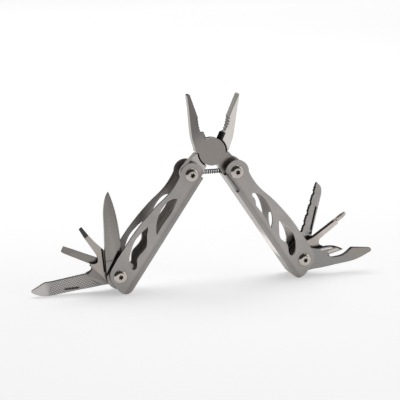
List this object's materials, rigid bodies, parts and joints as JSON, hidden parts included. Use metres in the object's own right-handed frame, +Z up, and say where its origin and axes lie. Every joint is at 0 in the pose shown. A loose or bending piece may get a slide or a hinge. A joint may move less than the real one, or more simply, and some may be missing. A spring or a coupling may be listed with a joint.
{
  "type": "folding plier multi tool",
  "caption": "Pocket multi tool: spring-loaded pliers between two open-sided channel handles, each holding folding blades, drivers, a file and a cap lifter.",
  "frame": {"origin": "bottom centre of the bounding box, as the tool stands on its handle ends", "axes": "+X right along the spread of the handles, +Y away from the viewer along the hinge axes, +Z up along the jaws"},
  "size_m": [0.1694, 0.0136, 0.0922],
  "materials": {
    "cap_lifter": "satin, ground tip",
    "cross_driver": "satin, turned point",
    "file": "cross-cut file teeth, bright ground tip",
    "jaw_front": "satin ground plier steel, bright ground flanks",
    "jaw_rear": "satin ground plier steel, bright ground flanks",
    "jaw_spring": "drawn music wire, semi-bright",
    "knife_blade": "satin blade, fine lengthwise grain",
    "left_fold_screw": "polished domed head, dark recess",
    "left_fold_sleeve": "turned sleeve, polished domed head",
    "left_handle": "bead-blasted sheet stainless, matt, cut edges brighter",
    "left_tang_spacers": "turned, grey",
    "left_tool_screw": "polished domed head, dark recess",
    "left_tool_sleeve": "turned sleeve, polished domed head",
    "left_tool_washers": "thin phosphor bronze washers",
    "medium_flat_driver": "satin, ground tip",
    "plier_rivet": "ground flush, satin",
    "right_fold_screw": "polished domed head, dark recess",
    "right_fold_sleeve": "turned sleeve, polished domed head",
    "right_handle": "bead-blasted sheet stainless, matt, cut edges brighter",
    "right_tang_spacers": "turned, grey",
    "right_tool_screw": "polished domed head, dark recess",
    "right_tool_sleeve": "turned sleeve, polished domed head",
    "right_tool_washers": "thin phosphor bronze washers",
    "serrated_blade": "satin blade, bright scallops",
    "small_flat_driver": "satin, ground tip"
  },
  "bodies": {
    "plier_front": {"jaw_front": "jaw_front", "plier_rivet": "plier_rivet", "jaw_spring": "jaw_spring"},
    "plier_rear": {"jaw_rear": "jaw_rear"},
    "left_pivot": {"left_fold_sleeve": "left_fold_sleeve", "left_fold_screw": "left_fold_screw", "left_tang_spacers": "left_tang_spacers"},
    "right_pivot": {"right_fold_sleeve": "right_fold_sleeve", "right_fold_screw": "right_fold_screw", "right_tang_spacers": "right_tang_spacers"},
    "left_frame": {"left_handle": "left_handle", "left_tool_sleeve": "left_tool_sleeve", "left_tool_screw": "left_tool_screw", "left_tool_washers": "left_tool_washers"},
    "right_frame": {"right_handle": "right_handle", "right_tool_sleeve": "right_tool_sleeve", "right_tool_screw": "right_tool_screw", "right_tool_washers": "right_tool_washers"},
    "knife_blade_body": {"knife_blade": "knife_blade"},
    "small_flat_driver_body": {"small_flat_driver": "small_flat_driver"},
    "medium_flat_driver_body": {"medium_flat_driver": "medium_flat_driver"},
    "file_body": {"file": "file"},
    "cap_lifter_body": {"cap_lifter": "cap_lifter"},
    "cross_driver_body": {"cross_driver": "cross_driver"},
    "serrated_blade_body": {"serrated_blade": "serrated_blade"}
  },
  "joints": [
    {"name": "pliers_squeeze", "type": "hinge", "parent": "plier_front", "child": "plier_rear", "pos_m": [0.00211, 0, 0.0646], "axis": [0, -1, 0], "range_deg": [0, 46], "deforming": ["jaw_spring"]},
    {"name": "left_fold_sleeve_turn", "type": "hinge", "parent": "plier_rear", "child": "left_pivot", "pos_m": [-0.00908, 0, 0.05491], "axis": [0, 1, 0], "range_deg": [0, 82.25]},
    {"name": "left_handle_fold", "type": "hinge", "parent": "left_pivot", "child": "left_frame", "pos_m": [-0.00908, 0, 0.05491], "axis": [0, 1, 0], "range_deg": [0, 82.25]},
    {"name": "right_fold_sleeve_turn", "type": "hinge", "parent": "plier_front", "child": "right_pivot", "pos_m": [0.0133, 0, 0.05491], "axis": [0, -1, 0], "range_deg": [0, 82.25]},
    {"name": "right_handle_fold", "type": "hinge", "parent": "right_pivot", "child": "right_frame", "pos_m": [0.0133, 0, 0.05491], "axis": [0, -1, 0], "range_deg": [0, 82.25]},
    {"name": "knife_blade_swing", "type": "hinge", "parent": "left_frame", "child": "knife_blade_body", "pos_m": [-0.04418, 0, 0.00874], "axis": [0, 1, 0], "range_deg": [-133, 47]},
    {"name": "small_flat_driver_swing", "type": "hinge", "parent": "left_frame", "child": "small_flat_driver_body", "pos_m": [-0.04418, 0, 0.00874], "axis": [0, 1, 0], "range_deg": [-105, 75]},
    {"name": "medium_flat_driver_swing", "type": "hinge", "parent": "left_frame", "child": "medium_flat_driver_body", "pos_m": [-0.04418, 0, 0.00874], "axis": [0, 1, 0], "range_deg": [-81, 99]},
    {"name": "file_swing", "type": "hinge", "parent": "left_frame", "child": "file_body", "pos_m": [-0.04418, 0, 0.00874], "axis": [0, 1, 0], "range_deg": [-42.5, 137.5]},
    {"name": "cap_lifter_swing", "type": "hinge", "parent": "right_frame", "child": "cap_lifter_body", "pos_m": [0.0484, 0, 0.00874], "axis": [0, -1, 0], "range_deg": [-55, 125]},
    {"name": "cross_driver_swing", "type": "hinge", "parent": "right_frame", "child": "cross_driver_body", "pos_m": [0.0484, 0, 0.00874], "axis": [0, -1, 0], "range_deg": [-94, 86]},
    {"name": "serrated_blade_swing", "type": "hinge", "parent": "right_frame", "child": "serrated_blade_body", "pos_m": [0.0484, 0, 0.00874], "axis": [0, -1, 0], "range_deg": [-126, 54]}
  ]
}
